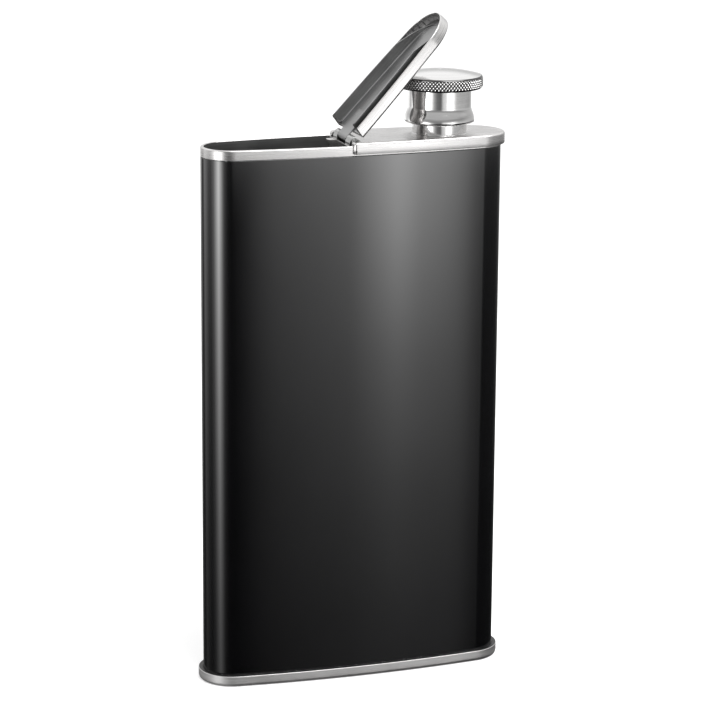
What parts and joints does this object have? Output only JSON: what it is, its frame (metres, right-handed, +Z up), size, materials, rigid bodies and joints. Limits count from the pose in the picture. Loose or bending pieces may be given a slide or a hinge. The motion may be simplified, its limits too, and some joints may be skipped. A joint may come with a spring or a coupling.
{
  "type": "hip flask with cigar case",
  "caption": "Slim upright hip flask with a gloss black sleeve, steel base and top, a hinged lid leaning open over a cigar case, and a knurled screw cap.",
  "frame": {"origin": "centre of the underside of the base", "axes": "+Z up, +X along the width towards the flask side and its neck, -Y the front face"},
  "size_m": [0.0948, 0.0256, 0.1994],
  "materials": {
    "black_paint": "gloss",
    "brushed_trim": "brushed",
    "satin_steel": "satin",
    "polished_steel": "polished",
    "hinge_steel": "satin",
    "insert_plastic": "matte",
    "seal_rubber": "matte"
  },
  "bodies": {
    "flask": {"base_pan": "brushed_trim", "black_sleeve": "black_paint", "body_shell": "satin_steel", "case_floor": "satin_steel", "tank_floor": "satin_steel", "divider_wall": "satin_steel", "tank_wall": "satin_steel", "flask_cover": "brushed_trim", "threaded_neck": "polished_steel", "neck_flange": "satin_steel", "case_hinge_leaf": "hinge_steel", "hinge_pin": "hinge_steel"},
    "lid": {"lid_shell": "brushed_trim", "lid_liner": "satin_steel", "lid_hinge_leaf": "hinge_steel"},
    "cap_washer": {"cap_seal": "seal_rubber"},
    "cap": {"cap_skirt": "polished_steel", "cap_head": "polished_steel", "cap_insert": "insert_plastic"}
  },
  "joints": [
    {"name": "lid_hinge", "type": "hinge", "parent": "flask", "child": "lid", "pos_m": [-0.002, 0, 0.1639], "axis": [0, -1, 0], "range_deg": [0, 132.6]},
    {"name": "cap_rise", "type": "slide", "parent": "flask", "child": "cap_washer", "axis": [0, 0, 1], "range_m": [0, 0.0005]},
    {"name": "cap_turn", "type": "hinge", "parent": "cap_washer", "child": "cap", "pos_m": [0.027, 0, 0.1763], "axis": [0, 0, 1], "range_deg": [0, 120]}
  ],
  "couplings": [
    {"joint": "cap_rise", "follows": "cap_turn", "m_per_rad": 0.00023873}
  ]
}
